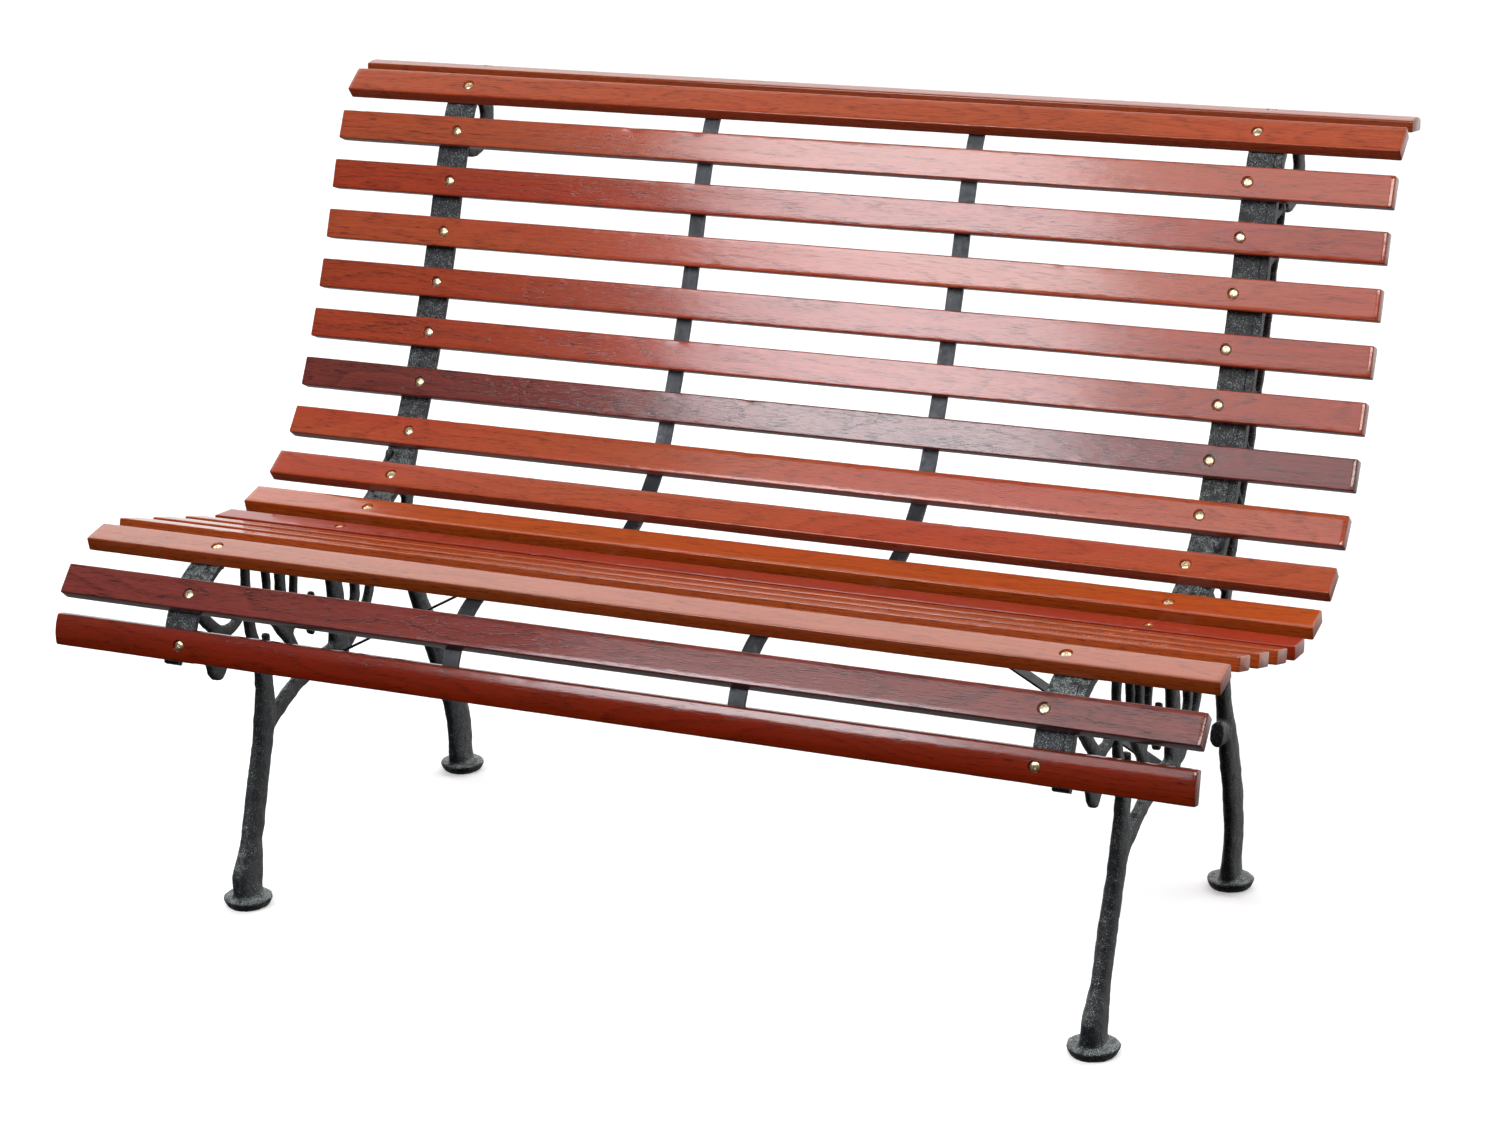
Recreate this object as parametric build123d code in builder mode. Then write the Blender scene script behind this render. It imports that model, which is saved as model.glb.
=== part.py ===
from build123d import *
import os
from math import cos, radians, sin

# Slatted park bench: eighteen timber slats on two cast side frames, stiffened by two
# steel straps behind the slats and two diagonal braces under the seat.
# Millimetres, +Z up. X runs along the slats, the sitter faces -Y, and the origin lies
# on the ground in the middle of the bench's footprint.

# ---- slats ----
SLAT_LENGTH = 1400
SLAT_WIDTH = 37.5
SLAT_THICK = 17
EDGE_EASE = 1.5
CROWN_RISE = 4

# ---- bench line: the side profile through the slats' outer faces ----
# Leans are degrees from upright, in the order in which the line meets them, from the
# front slat over the nose, along the seat, round the hip and up the back to the top roll.
FRONT_Y = -414.5
FRONT_Z = 351
NOSE_RADIUS = 123.5
SEAT_LEAN = 104.5
SEAT_RUN = 172
HIP_RADIUS = 202
HIP_LEAN = 28.2
LOWER_BACK_RADIUS = 1583
WAIST_LEAN = 18.3
UPPER_BACK_RADIUS = 833
SHOULDER_LEAN = 26.2
TOP_RADIUS = 80
TOP_LEAN = 110

# ---- slat spacing, measured along the bench line from its front end ----
FIRST_SLAT = 25.2
FRONT_STEP = 62.7
NOSE_STEP = 77.4
SEAT_STEP = 69.1
SEAT_STEPS = 3
BACK_STEP = 65.35
BACK_STEPS = 11
TOP_STEP = 59.75

# ---- side frames: an L-section casting, drawn for the +X side ----
SCREW_X = 527
FLANGE_INNER_X = 517
WEB_INNER_X = 550
WEB_OUTER_X = 560
FLANGE_THICK = 6
WEB_SETBACK = 2
WEB_DEPTH = 12
LIMB_INNER_X = 547
LIMB_THICK = 10
LIMB_OUTER_X = LIMB_INNER_X + LIMB_THICK
LIMB_MID_X = LIMB_INNER_X + LIMB_THICK / 2
FOOT_RIM_RADIUS = 30
FOOT_BASE_RADIUS = 25.5
FOOT_RIM_HEIGHT = 10
FOOT_THICK = 12
FRONT_FOOT = (546, -279)
REAR_FOOT = (538, 230)
FRONT_CURL = ((-394, 353, 3.2), (-391, 347, 3.5))
CURL_INNER_X = 540
LATTICE_BAYS = 7
LATTICE_START = 633
LATTICE_BAY = 58
LATTICE_DEPTH = 50
SCROLL_RADIUS = 50
SCROLL_BAND = 30
SCROLL_TURN = 190

# ---- slat screws with washers and nuts ----
SCREW_RADIUS = 2.5
SCREW_HEAD_RADIUS = 6.2
SCREW_HEAD_RISE = 3
COUNTERBORE_RADIUS = 7.2
COUNTERBORE_DEPTH = 3.5
SEAT_CLEARANCE = 60
SCREW_END_GAP = 31
CROSS_WIDTH = 1.2
CROSS_DEPTH = 1.4
WASHER_RADIUS = 5
WASHER_THICK = 1
NUT_ACROSS_FLATS = 8
NUT_THICK = 4

# ---- straps and their wood screws ----
STRAP_X = 177
STRAP_WIDTH = 20
STRAP_THICK = 4
STRAP_BOTTOM_Z = 359
STRAP_TOP_LEAN = 103
WOOD_SCREW_RADIUS = 2
WOOD_SCREW_HEAD_RADIUS = 4
WOOD_SCREW_HEAD_RISE = 2.2
WOOD_SCREW_BITE = 11

# ---- braces and their bolts ----
BRACE_WIDTH = 20
BRACE_THICK = 2.5
BRACE_AHEAD = 5
BRACE_SLOPE = 28.6
BRACE_TAB_Z = 229
BRACE_BEND_Z = 250
BRACE_INNER_X = 165
BRACE_BOLT_Z = 239
BOLT_RADIUS = 3
BOLT_HEAD_RADIUS = 7
BOLT_HEAD_RISE = 3.5
BOLT_WASHER_RADIUS = 6.5
BOLT_WASHER_THICK = 1.2
BOLT_NUT_FLATS = 10
BOLT_NUT_THICK = 5
BOLT_PROUD = 2.5

FLANGE_BACK = SLAT_THICK + FLANGE_THICK
STRAP_BACK = SLAT_THICK + STRAP_THICK
SIDES = {"right": 1, "left": -1}


# ---------------------------------------------------------------- bench line
def bench_line(gap, top_lean=TOP_LEAN):
    """Draw the bench line at a depth of gap behind the slats' outer faces."""
    nose = JernArc((FRONT_Y + gap, FRONT_Z), (0, 1), NOSE_RADIUS - gap, -SEAT_LEAN)
    seat = PolarLine(nose @ 1, SEAT_RUN, direction=nose % 1)
    hip = JernArc(seat @ 1, seat % 1, HIP_RADIUS + gap, SEAT_LEAN - HIP_LEAN)
    lower = JernArc(hip @ 1, hip % 1, LOWER_BACK_RADIUS + gap, HIP_LEAN - WAIST_LEAN)
    upper = JernArc(lower @ 1, lower % 1, UPPER_BACK_RADIUS - gap, WAIST_LEAN - SHOULDER_LEAN)
    top = JernArc(upper @ 1, upper % 1, TOP_RADIUS - gap, SHOULDER_LEAN - top_lean)
    return [nose, seat, hip, lower, upper, top]


def band(near_gap, far_gap, top_lean=TOP_LEAN):
    """Fill the strip between two depths behind the slats' outer faces."""
    with BuildLine() as outline:
        near = bench_line(near_gap, top_lean)
        far = bench_line(far_gap, top_lean)
        Line(near[0] @ 0, far[0] @ 0)
        Line(near[-1] @ 1, far[-1] @ 1)
    make_face(outline.edges())


with BuildLine():
    OUTER = bench_line(0)
OUTER_WIRE = Wire(OUTER)

# The lowest point of the hip bend, where the straps lie level and the braces end.
LEVEL_PART = (SEAT_LEAN - 90) / (SEAT_LEAN - HIP_LEAN)
HIP_BOTTOM = OUTER[2] @ LEVEL_PART
BRACE_Y = HIP_BOTTOM.X - BRACE_AHEAD
STRAP_UNDERSIDE_Z = HIP_BOTTOM.Y - STRAP_BACK


def slat_distances():
    """Distances of the slat centres along the bench line, from the front slat to the top."""
    steps = [FRONT_STEP, NOSE_STEP] + [SEAT_STEP] * SEAT_STEPS
    steps += [BACK_STEP] * BACK_STEPS + [TOP_STEP]
    distances = [FIRST_SLAT]
    for step in steps:
        distances.append(distances[-1] + step)
    return distances


def line_plane(distance, gap=0):
    """Plane at a distance along the bench line: x along the slats, z out of the bench."""
    point = OUTER_WIRE.position_at(distance, position_mode=PositionMode.LENGTH)
    along = OUTER_WIRE.tangent_at(distance, position_mode=PositionMode.LENGTH)
    outward = Vector(0, -along.Y, along.X)
    origin = Vector(0, point.X, point.Y) - outward * gap
    return Plane(origin=origin, x_dir=(1, 0, 0), z_dir=outward)


SLAT_FACES = [line_plane(d) for d in slat_distances()]
FLANGE_BACKS = [line_plane(d, FLANGE_BACK) for d in slat_distances()]
STRAP_BACKS = [line_plane(d, STRAP_BACK) for d in slat_distances()]
# The hip slat takes the braces' screws, which run straight up.
HIP_SLAT = 6
STRAP_BACKS[HIP_SLAT] = Plane(
    origin=(0, BRACE_Y, STRAP_UNDERSIDE_Z), x_dir=(1, 0, 0), z_dir=(0, 0, 1)
)
SLAT_NAMES = (
    ["front_slat"]
    + [f"seat_slat_{n}" for n in range(1, 8)]
    + [f"back_slat_{n}" for n in range(1, 10)]
    + ["top_slat"]
)


# --------------------------------------------------------------------- slats
def end_plane(face):
    """Plane across a slat at its -X end: x along the slat's width, y out of the bench."""
    origin = face.origin - Vector(SLAT_LENGTH / 2, 0, 0)
    return Plane(origin=origin, x_dir=face.y_dir, z_dir=(1, 0, 0))


def flat_section():
    """Flat slat section with eased corners, its outer face on the local x axis."""
    with Locations((0, -SLAT_THICK / 2)):
        Rectangle(SLAT_WIDTH, SLAT_THICK)


def crowned_section():
    """Slat section whose outer face swells to a crown between two lower shoulders."""
    half = SLAT_WIDTH / 2
    with BuildLine() as outline:
        ThreePointArc((-half, -CROWN_RISE), (0, 0), (half, -CROWN_RISE))
        Line((half, -CROWN_RISE), (half, -SLAT_THICK))
        Line((half, -SLAT_THICK), (-half, -SLAT_THICK))
        Line((-half, -SLAT_THICK), (-half, -CROWN_RISE))
    make_face(outline.edges())


def make_slat(name, face, back, crowned):
    """One slat with counterbored screw holes and pilot holes for the straps' screws."""
    with BuildPart() as slat:
        with BuildSketch(end_plane(face)) as section:
            if crowned:
                crowned_section()
            else:
                flat_section()
            fillet(section.vertices(), radius=EDGE_EASE)
        extrude(amount=SLAT_LENGTH)
        with Locations(face):
            with Locations((-SCREW_X, 0), (SCREW_X, 0)):
                CounterBoreHole(SCREW_RADIUS, COUNTERBORE_RADIUS, COUNTERBORE_DEPTH, SLAT_THICK + 1)
        with Locations(back):
            with Locations((-STRAP_X, 0), (STRAP_X, 0)):
                Cylinder(
                    WOOD_SCREW_RADIUS,
                    STRAP_THICK + WOOD_SCREW_BITE,
                    align=(Align.CENTER, Align.CENTER, Align.MIN),
                    mode=Mode.SUBTRACT,
                )
    finish(slat, name)


def finish(piece, name):
    """Label a piece and write its STEP file."""
    piece.part.label = name
    export_step(piece.part, f"parts/{name}.step")


# --------------------------------------------------------------- side frames
def limb(*stations):
    """Fill a tapering limb through stations of (y, z, half width)."""
    for (y0, z0, r0), (y1, z1, r1) in zip(stations, stations[1:]):
        with BuildSketch(mode=Mode.PRIVATE) as run:
            with Locations((y0, z0)):
                Circle(r0)
            with Locations((y1, z1)):
                Circle(r1)
            make_hull()
        add(run.sketch)


def leg(foot_x, *stations):
    """Loft a leg through level ovals of (y, z, half x, half y), leaning in to its foot."""
    top_z = stations[-1][1]
    ovals = []
    for y, z, half_x, half_y in stations:
        x = foot_x + (LIMB_MID_X - foot_x) * z / top_z
        with BuildSketch(Plane.XY.offset(z)) as oval:
            with Locations((x, y)):
                Ellipse(half_x, half_y)
        ovals.append(oval.sketch)
    loft(ovals)


def legs():
    """Front leg with its swollen ankle and fork, and rear leg that leans further in."""
    leg(
        FRONT_FOOT[0],
        (-279, 8, 16, 22),
        (-275, 40, 12, 27),
        (-268, 60, 11, 21),
        (-260, 80, 10, 19),
        (-246, 120, 10, 18),
        (-232, 160, 10, 18),
        (-214, 215, 9, 19),
        (-208, 240, 8, 18),
        (-207, 262, 7, 15),
        (-210, 284, 6, 11),
        (-216, 305, 5, 9),
    )
    leg(
        REAR_FOOT[0],
        (230, 8, 14, 22),
        (231, 60, 9, 26),
        (225, 100, 9, 25),
        (212, 138, 9, 25),
        (195, 180, 9, 25),
        (184, 205, 9, 22),
        (170, 232, 9, 18),
        (159, 258, 8, 16),
        (149, 290, 8, 14),
        (143, 330, 6, 12),
        (143, 352, 5, 11),
    )


def trunks():
    """The load-bearing limbs above the legs."""
    # limb that the front leg sends up to the seat
    limb((-212, 292, 10), (-219, 315, 8.5), (-227.5, 338, 8.5), (-231, 400, 7), (-229, 440, 7))
    # trunk that leans back from the fork to carry the seat
    limb((-206, 208, 13), (-185, 219, 11.5), (-150, 235, 11), (-118, 244, 11), (-80, 250, 13))
    limb((-80, 250, 13), (-36, 250, 24), (-38, 285, 18), (-38, 328, 16), (-46, 370, 13), (-50, 400, 13))
    # rear leg's upper part, running up into the back
    limb((143, 345, 11), (147, 400, 11), (160, 442, 10), (186, 490, 8))
    # cut-off stub on the rear leg
    limb((165, 224, 13), (134, 230, 15))


def twigs():
    """The thinner ornamental branches."""
    # loop behind the front slat, and the drop that hangs from it
    limb((-372, 418, 7.5), (-340, 395, 7.5), (-314, 371, 8), (-297, 357, 8), (-281, 350, 8))
    limb((-281, 350, 8), (-262, 352, 7), (-248, 361, 6.5), (-231, 380, 6))
    limb((-302, 352, 9), (-300, 326, 22), (-300, 318, 20))
    # stub beside the front leg's upper limb
    limb((-198, 262, 12), (-195.5, 292, 7), (-195.5, 316, 4.5))
    # three branches spreading from one stem under the front of the seat
    limb((-118, 246, 11), (-140, 288, 9), (-152, 318, 8.5), (-157, 350, 9), (-157, 432, 9))
    limb((-148, 304, 7), (-168, 322, 6.5), (-184, 345, 6), (-187, 380, 6), (-190, 438, 6))
    limb((-145, 305, 7), (-134, 335, 6), (-129, 363, 6), (-118, 424, 6))
    # cross twig with a leaf and a bud
    limb((-150, 312, 6), (-94, 316, 8), (-45, 308, 7))
    limb((-96, 316, 11), (-96, 304, 15), (-96, 295, 6))
    limb((-92, 316, 7), (-90.5, 339, 4.5))
    # two branches beside the rear trunk
    limb((-20, 266, 12), (-2, 290, 10), (10, 312, 8), (9, 340, 8), (5, 402, 8))
    limb((-14, 260, 12), (18, 276, 10), (40, 300, 8), (49, 335, 7.5), (46, 418, 7.5))
    # ties from the rear leg to the hip
    limb((145, 356, 8), (108, 392, 6), (70, 432, 7))
    limb((150, 404, 8), (118, 430, 6), (112, 468, 7))


def lattice():
    """Rear rib of the back and the zigzag twigs between it and the flange."""
    rib = [(186, 490, 6)]
    for bay in range(LATTICE_BAYS):
        start = LATTICE_START + bay * LATTICE_BAY
        foot = line_plane(start, FLANGE_BACK - 1).origin
        knot = line_plane(start + LATTICE_BAY / 2, SLAT_THICK + LATTICE_DEPTH).origin
        head = line_plane(start + LATTICE_BAY, FLANGE_BACK - 1).origin
        limb((foot.Y, foot.Z, 4), (knot.Y, knot.Z, 4), (head.Y, head.Z, 4))
        rib.append((knot.Y, knot.Z, 5))
    rib.append((head.Y, head.Z, 5))
    limb(*rib)


def scroll_face():
    """Fill the scroll's band, from under the top slat round to its tip."""
    with BuildLine():
        top = bench_line(SLAT_THICK)[-1]
    start = top @ 1
    heading = top % 1
    inward = Vector(heading.Y, -heading.X)
    inner_radius = SCROLL_RADIUS - SCROLL_BAND
    with BuildLine() as outline:
        outer = JernArc(start, heading, SCROLL_RADIUS, -SCROLL_TURN)
        inner = JernArc(start + inward * SCROLL_BAND, heading, inner_radius, -SCROLL_TURN)
        Line(outer @ 0, inner @ 0)
        JernArc(outer @ 1, outer % 1, SCROLL_BAND / 2, -180)
    make_face(outline.edges())


def make_foot(centre):
    """Round foot of the casting, undercut towards the ground."""
    x, y = centre
    step = FOOT_THICK - FOOT_RIM_HEIGHT
    with BuildSketch(Plane(origin=(x, y, 0), x_dir=(1, 0, 0), z_dir=(0, -1, 0))) as section:
        with BuildLine():
            Line((0, 0), (FOOT_BASE_RADIUS, 0))
            Line((FOOT_BASE_RADIUS, 0), (FOOT_RIM_RADIUS, FOOT_RIM_HEIGHT))
            Line((FOOT_RIM_RADIUS, FOOT_RIM_HEIGHT), (FOOT_RIM_RADIUS - step, FOOT_THICK))
            Line((FOOT_RIM_RADIUS - step, FOOT_THICK), (0, FOOT_THICK))
            Line((0, FOOT_THICK), (0, 0))
        make_face()
    revolve(section.sketch, axis=Axis((x, y, 0), (0, 0, 1)))


def slat_seats(length, centre_x):
    """Flatten the places where the slats lie."""
    for face in SLAT_FACES:
        with Locations(face):
            with Locations((centre_x, 0, -SLAT_THICK)):
                Box(
                    2 * length,
                    SLAT_WIDTH + 1,
                    SLAT_THICK,
                    align=(Align.CENTER, Align.CENTER, Align.MIN),
                    mode=Mode.SUBTRACT,
                )


def screw_holes(backs, centre_x, radius, thick, spot_radius):
    """Drill a screw hole on each plane and face a round flat for what stands on it."""
    for back in backs:
        with Locations(back):
            with Locations((centre_x, 0)):
                Cylinder(radius, 4 * thick, mode=Mode.SUBTRACT)
                Cylinder(
                    spot_radius,
                    2 * thick,
                    align=(Align.CENTER, Align.CENTER, Align.MAX),
                    mode=Mode.SUBTRACT,
                )


def make_frames():
    """The cast side frames: flange, web, legs, twigs, scroll and feet in one piece."""
    web_gap = SLAT_THICK + WEB_SETBACK
    with BuildPart() as frame:
        with BuildSketch(Plane.YZ.offset(WEB_INNER_X)):
            band(web_gap, web_gap + WEB_DEPTH)
        extrude(amount=WEB_OUTER_X - WEB_INNER_X)
        with BuildSketch(Plane.YZ.offset(LIMB_INNER_X)):
            trunks()
            twigs()
            lattice()
            scroll_face()
        extrude(amount=LIMB_THICK)
        legs()
        make_foot(FRONT_FOOT)
        make_foot(REAR_FOOT)
        with BuildSketch(Plane.YZ.offset(FLANGE_INNER_X)):
            band(-SEAT_CLEARANCE, web_gap)
        extrude(amount=WEB_OUTER_X - FLANGE_INNER_X, mode=Mode.SUBTRACT)
        with BuildSketch(Plane.YZ.offset(FLANGE_INNER_X)):
            band(SLAT_THICK, FLANGE_BACK)
        extrude(amount=WEB_INNER_X - FLANGE_INNER_X)
        with BuildSketch(Plane.YZ.offset(CURL_INNER_X)):
            limb(*FRONT_CURL)
        extrude(amount=WEB_OUTER_X - CURL_INNER_X)
        slat_seats(WEB_OUTER_X - FLANGE_INNER_X, SCREW_X)
        screw_holes(FLANGE_BACKS, SCREW_X, SCREW_RADIUS, FLANGE_THICK, WASHER_RADIUS + 1)
        with Locations((LIMB_OUTER_X, BRACE_Y, BRACE_BOLT_Z)):
            Cylinder(BOLT_RADIUS, 3 * LIMB_THICK, rotation=(0, 90, 0), mode=Mode.SUBTRACT)
    finish(frame, "right_side_frame")
    with BuildPart() as mirrored:
        mirror(frame.part, about=Plane.YZ)
    finish(mirrored, "left_side_frame")


# -------------------------------------------------------- straps and braces
def make_strap(name, side):
    """Flat steel strap that follows the backs of all the slats."""
    with BuildPart() as strap:
        with BuildSketch(Plane.YZ.offset(side * STRAP_X - STRAP_WIDTH / 2)):
            band(SLAT_THICK, STRAP_BACK, STRAP_TOP_LEAN)
        extrude(amount=STRAP_WIDTH)
        split(bisect_by=Plane.XY.offset(STRAP_BOTTOM_Z), keep=Keep.TOP)
        slat_seats(STRAP_WIDTH, side * STRAP_X)
        spot_radius = WOOD_SCREW_HEAD_RADIUS + 1
        screw_holes(STRAP_BACKS, side * STRAP_X, WOOD_SCREW_RADIUS, STRAP_THICK, spot_radius)
    finish(strap, name)


def make_brace(name, side):
    """Flat bar from a side frame's rear trunk up to the strap under the hip."""
    tab_x = side * (LIMB_INNER_X - BRACE_THICK / 2)
    level_z = STRAP_UNDERSIDE_Z - BRACE_THICK / 2
    rise = level_z - BRACE_BEND_Z
    bend_x = tab_x - side * rise * cos(radians(BRACE_SLOPE)) / sin(radians(BRACE_SLOPE))
    with BuildPart() as brace:
        with BuildSketch(Plane.XZ.offset(-BRACE_Y - BRACE_WIDTH / 2)):
            with BuildLine() as route:
                FilletPolyline(
                    (tab_x, BRACE_TAB_Z),
                    (tab_x, BRACE_BEND_Z),
                    (bend_x, level_z),
                    (side * BRACE_INNER_X, level_z),
                    radius=BRACE_THICK * 2,
                )
            trace(route.line, line_width=BRACE_THICK)
        extrude(amount=BRACE_WIDTH)
        with Locations((tab_x, BRACE_Y, BRACE_BOLT_Z)):
            Cylinder(BOLT_RADIUS, 3 * BRACE_THICK, rotation=(0, 90, 0), mode=Mode.SUBTRACT)
        with Locations((side * STRAP_X, BRACE_Y, level_z)):
            Cylinder(WOOD_SCREW_RADIUS, 3 * BRACE_THICK, mode=Mode.SUBTRACT)
    finish(brace, name)


# ---------------------------------------------------------------- fasteners
def dome_screw(seat, radius, length, head_radius, head_rise):
    """Screw whose head stands on the seat plane and whose shank runs down its -z."""
    plane = Plane(origin=seat.origin, x_dir=seat.x_dir, z_dir=-seat.y_dir)
    with BuildSketch(plane) as section:
        with BuildLine():
            Line((0, -length), (radius, -length))
            Line((radius, -length), (radius, 0))
            Line((radius, 0), (head_radius, 0))
            ThreePointArc((head_radius, 0), (head_radius * 0.72, head_rise * 0.72), (0, head_rise))
            Line((0, head_rise), (0, -length))
        make_face()
    revolve(section.sketch, axis=Axis(seat.origin, seat.z_dir))
    for turn in (0, 90):
        with Locations(seat.offset(head_rise)):
            Box(head_radius, CROSS_WIDTH, 2 * CROSS_DEPTH, rotation=(0, 0, turn), mode=Mode.SUBTRACT)


def moved(plane, x, gap=0):
    """The same plane shifted along its own x and sunk by gap."""
    return Plane(
        origin=plane.origin + Vector(x, 0, 0) - plane.z_dir * gap,
        x_dir=plane.x_dir,
        z_dir=plane.z_dir,
    )


def ring(plane, radius, bore, thick):
    """Washer standing on the plane."""
    with BuildSketch(plane) as section:
        Circle(radius)
        Circle(bore, mode=Mode.SUBTRACT)
    extrude(section.sketch, amount=thick)


def hexagon(plane, flats, bore, thick):
    """Hexagon nut standing on the plane."""
    with BuildSketch(plane) as section:
        RegularPolygon(flats / 2, 6, major_radius=False)
        Circle(bore, mode=Mode.SUBTRACT)
    extrude(section.sketch, amount=thick)


def make_slat_fasteners():
    """Domed screws through every slat and both flanges, with their washers and nuts."""
    length = SCREW_END_GAP - COUNTERBORE_DEPTH
    with BuildPart() as screws:
        for face in SLAT_FACES:
            for side in SIDES.values():
                seat = moved(face, side * SCREW_X, COUNTERBORE_DEPTH)
                dome_screw(seat, SCREW_RADIUS, length, SCREW_HEAD_RADIUS, SCREW_HEAD_RISE)
    finish(screws, "slat_screws")
    with BuildPart() as washers:
        for back in FLANGE_BACKS:
            for side in SIDES.values():
                ring(moved(back, side * SCREW_X, WASHER_THICK), WASHER_RADIUS, SCREW_RADIUS, WASHER_THICK)
    finish(washers, "slat_washers")
    with BuildPart() as nuts:
        for back in FLANGE_BACKS:
            for side in SIDES.values():
                seat = moved(back, side * SCREW_X, WASHER_THICK + NUT_THICK)
                hexagon(seat, NUT_ACROSS_FLATS, SCREW_RADIUS, NUT_THICK)
    finish(nuts, "slat_nuts")


def make_strap_screws():
    """Wood screws from behind, through the straps into the slats."""
    with BuildPart() as screws:
        for number, back in enumerate(STRAP_BACKS):
            if number != HIP_SLAT:
                behind = Plane(origin=back.origin, x_dir=back.x_dir, z_dir=-back.z_dir)
                for side in SIDES.values():
                    dome_screw(
                        moved(behind, side * STRAP_X),
                        WOOD_SCREW_RADIUS,
                        STRAP_THICK + WOOD_SCREW_BITE,
                        WOOD_SCREW_HEAD_RADIUS,
                        WOOD_SCREW_HEAD_RISE,
                    )
    finish(screws, "strap_screws")


def make_brace_fasteners():
    """Bolts through the side frames, and screws up through the straps into the hip slat."""
    inner_x = LIMB_INNER_X - BRACE_THICK
    bolt_length = LIMB_OUTER_X - inner_x + BOLT_WASHER_THICK + BOLT_NUT_THICK + BOLT_PROUD
    with BuildPart() as bolts:
        for side in SIDES.values():
            seat = Plane(
                origin=(side * LIMB_OUTER_X, BRACE_Y, BRACE_BOLT_Z),
                x_dir=(0, 1, 0),
                z_dir=(side, 0, 0),
            )
            dome_screw(seat, BOLT_RADIUS, bolt_length, BOLT_HEAD_RADIUS, BOLT_HEAD_RISE)
    finish(bolts, "brace_bolts")
    with BuildPart() as washers:
        for side in SIDES.values():
            seat = Plane(
                origin=(side * inner_x, BRACE_Y, BRACE_BOLT_Z), x_dir=(0, 1, 0), z_dir=(-side, 0, 0)
            )
            ring(seat, BOLT_WASHER_RADIUS, BOLT_RADIUS, BOLT_WASHER_THICK)
    finish(washers, "brace_washers")
    with BuildPart() as nuts:
        for side in SIDES.values():
            seat = Plane(
                origin=(side * (inner_x - BOLT_WASHER_THICK), BRACE_Y, BRACE_BOLT_Z),
                x_dir=(0, 1, 0),
                z_dir=(-side, 0, 0),
            )
            hexagon(seat, BOLT_NUT_FLATS, BOLT_RADIUS, BOLT_NUT_THICK)
    finish(nuts, "brace_nuts")
    with BuildPart() as screws:
        for side in SIDES.values():
            seat = Plane(
                origin=(side * STRAP_X, BRACE_Y, STRAP_UNDERSIDE_Z - BRACE_THICK),
                x_dir=(1, 0, 0),
                z_dir=(0, 0, -1),
            )
            dome_screw(
                seat,
                WOOD_SCREW_RADIUS,
                BRACE_THICK + STRAP_THICK + WOOD_SCREW_BITE,
                WOOD_SCREW_HEAD_RADIUS,
                WOOD_SCREW_HEAD_RISE,
            )
    finish(screws, "brace_screws")


# ----------------------------------------------------------------- the bench
os.makedirs("parts", exist_ok=True)

for index, slat_name in enumerate(SLAT_NAMES):
    is_end = index in (0, len(SLAT_NAMES) - 1)
    make_slat(slat_name, SLAT_FACES[index], STRAP_BACKS[index], is_end)

make_frames()
for side_name, side_sign in SIDES.items():
    make_strap(f"{side_name}_strap", side_sign)
    make_brace(f"{side_name}_brace", side_sign)

make_slat_fasteners()
make_strap_screws()
make_brace_fasteners()
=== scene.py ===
"""Looks of the slatted park bench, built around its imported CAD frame. Metres, +Z up."""

import math
import random

import bmesh
import bpy
from mathutils import Matrix, Vector, noise


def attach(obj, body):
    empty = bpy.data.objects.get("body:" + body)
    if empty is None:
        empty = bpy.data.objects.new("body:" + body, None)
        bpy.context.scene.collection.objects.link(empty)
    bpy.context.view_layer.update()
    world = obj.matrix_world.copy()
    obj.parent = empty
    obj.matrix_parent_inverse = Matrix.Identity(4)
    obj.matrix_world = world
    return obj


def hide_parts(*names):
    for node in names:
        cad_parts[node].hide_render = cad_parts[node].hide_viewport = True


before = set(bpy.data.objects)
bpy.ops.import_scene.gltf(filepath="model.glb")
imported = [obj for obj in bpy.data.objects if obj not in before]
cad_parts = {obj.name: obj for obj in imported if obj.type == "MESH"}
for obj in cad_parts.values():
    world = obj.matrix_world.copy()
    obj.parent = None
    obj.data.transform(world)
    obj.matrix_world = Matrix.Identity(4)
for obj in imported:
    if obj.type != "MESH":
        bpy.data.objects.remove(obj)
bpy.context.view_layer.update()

BODY = "root"
MM = 0.001

# ---- sizes shared with the CAD, in metres ----
SLAT_LENGTH = 1.4
SLAT_WIDTH = 0.0375
SLAT_THICK = 0.017
CROWN_RISE = 0.004
SCREW_X = 0.527
FLANGE_BACK = 0.023
LINE_START = (-0.4145, 0.351)
# Pieces of the bench line from its front end: (radius or None, length or turn in degrees).
LINE_PIECES = (
    (0.1235, 104.5),
    (None, 0.172),
    (0.202, -76.3),
    (1.583, -9.9),
    (0.833, 7.9),
    (0.080, 83.8),
)
SLAT_STEPS = [0.0252, 0.0627, 0.0774] + [0.0691] * 3 + [0.06535] * 11 + [0.05975]


# ---------------------------------------------------------------- bench line
def line_pieces():
    """Start, heading, length and signed curvature of each piece of the bench line."""
    y, z = LINE_START
    lean = 0.0
    pieces = []
    for radius, amount in LINE_PIECES:
        bend = 0.0 if radius is None else math.copysign(1 / radius, amount)
        length = amount if radius is None else radius * math.radians(abs(amount))
        pieces.append((y, z, lean, length, bend))
        y, z, lean = along(y, z, lean, length, bend)
    return pieces


def along(y, z, lean, run, bend):
    """Point and lean after a run on a piece that starts at y, z with that lean."""
    if bend == 0.0:
        return y + run * math.sin(lean), z + run * math.cos(lean), lean
    end = lean + run * bend
    y += (math.cos(lean) - math.cos(end)) / bend
    z += (math.sin(end) - math.sin(lean)) / bend
    return y, z, end


PIECES = line_pieces()
LINE_LENGTH = sum(p[3] for p in PIECES)


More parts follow.
